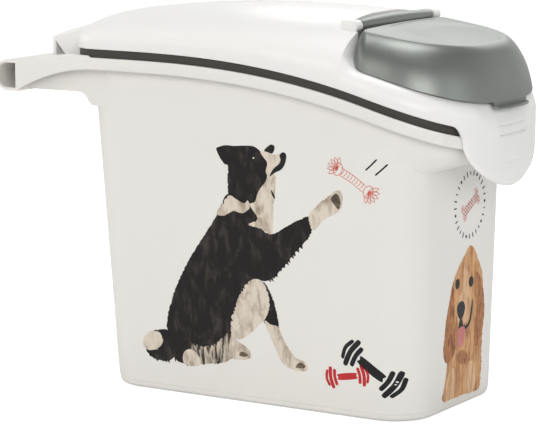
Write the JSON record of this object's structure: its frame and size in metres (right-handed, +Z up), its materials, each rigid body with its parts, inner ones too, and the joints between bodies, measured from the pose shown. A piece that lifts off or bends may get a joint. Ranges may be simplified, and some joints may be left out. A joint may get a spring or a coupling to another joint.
{
  "type": "pet food bin",
  "caption": "Tapered dry food bin with a rear carry handle, a hinged domed lid with a snap tab, and a flip-up pouring cap over the spout.",
  "frame": {"origin": "on the floor, under the middle of the bin's overall length and width", "axes": "+X points forward to the spout, +Y to the bin's left-hand side, +Z up; the bin mirrors in the XZ plane"},
  "size_m": [0.495, 0.228, 0.3606],
  "materials": {
    "tub_plastic": "fine satin white polypropylene",
    "seal_rubber": "dull dark grey elastomer",
    "lid_plastic": "smooth white polypropylene",
    "cap_plastic": "dark metallic grey polypropylene"
  },
  "bodies": {
    "tub": {"tub": "tub_plastic"},
    "lid": {"lid": "lid_plastic", "rim_seal": "seal_rubber"},
    "cap": {"spout_cap": "cap_plastic"}
  },
  "joints": [
    {"name": "lid_hinge", "type": "hinge", "parent": "tub", "child": "lid", "pos_m": [-0.183, 0, 0.3095], "axis": [0, -1, 0], "range_deg": [0, 120]},
    {"name": "cap_hinge", "type": "hinge", "parent": "lid", "child": "cap", "pos_m": [0.1205, 0, 0.3495], "axis": [0, -1, 0], "range_deg": [0, 115]}
  ]
}
